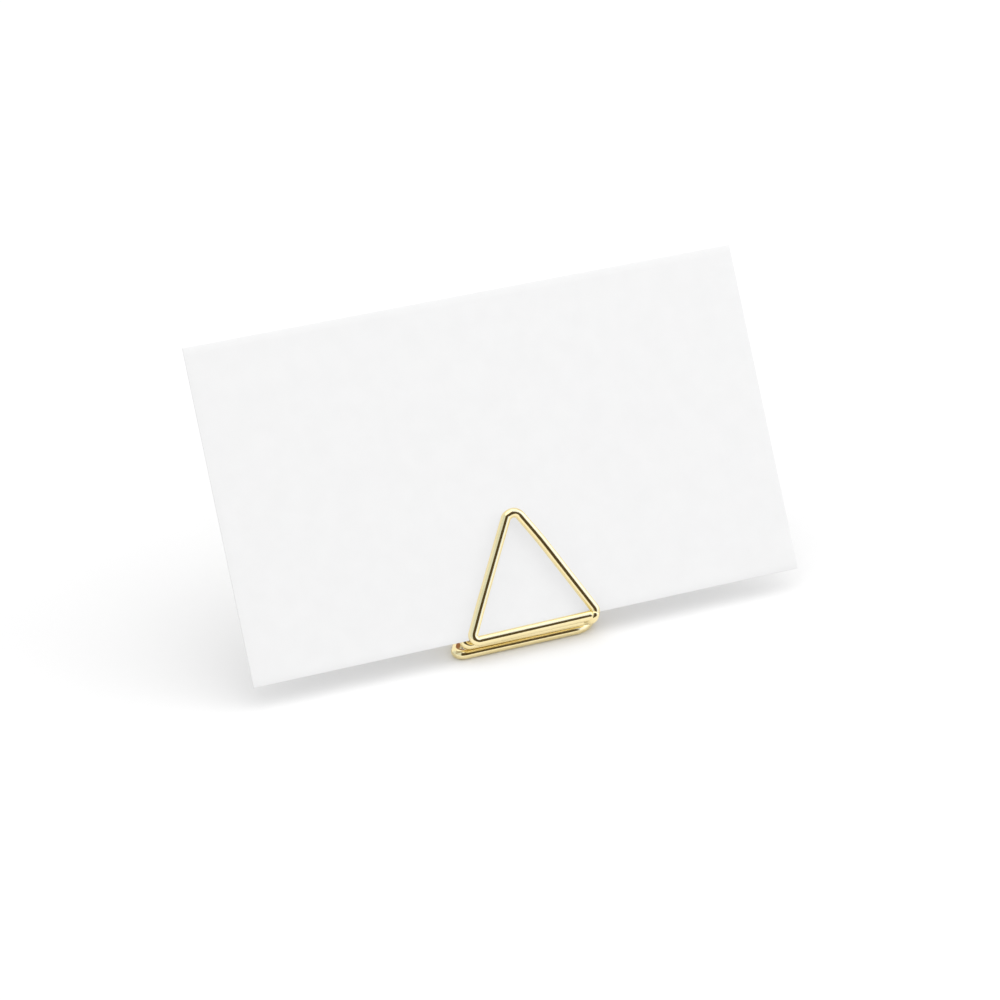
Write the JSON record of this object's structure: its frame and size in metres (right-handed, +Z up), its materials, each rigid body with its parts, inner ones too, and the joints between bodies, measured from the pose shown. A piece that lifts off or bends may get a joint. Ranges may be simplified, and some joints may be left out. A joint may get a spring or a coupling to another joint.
{
  "type": "place card holder",
  "caption": "Bent wire place card holder: a flat triangular foot and upright leaning triangles that grip a blank card between them.",
  "frame": {"origin": "centre of the footprint, on the table that the foot triangle rests on", "axes": "+X along the card's width to the right as seen from the front, +Y to the back where the card leans, +Z up"},
  "size_m": [0.089, 0.0284, 0.0468],
  "materials": {
    "gold_wire": "polished gold plate",
    "card_stock": "smooth matt white card"
  },
  "bodies": {
    "holder": {"rear_triangle": "gold_wire", "foot_triangle": "gold_wire"},
    "front_clip": {"front_triangle": "gold_wire"},
    "card": {"place_card": "card_stock"}
  },
  "joints": [
    {"name": "front_flex", "type": "hinge", "parent": "holder", "child": "front_clip", "pos_m": [0.00918, -0.01288, 0.00275], "axis": [1, 0, 0], "range_deg": [0, 3], "stiffness_Nm_per_rad": 0.5, "springref_deg": -1.15},
    {"name": "card_slide", "type": "slide", "parent": "holder", "child": "card", "axis": [0, 0.5225, 0.8526], "range_m": [0, 0.019]}
  ]
}
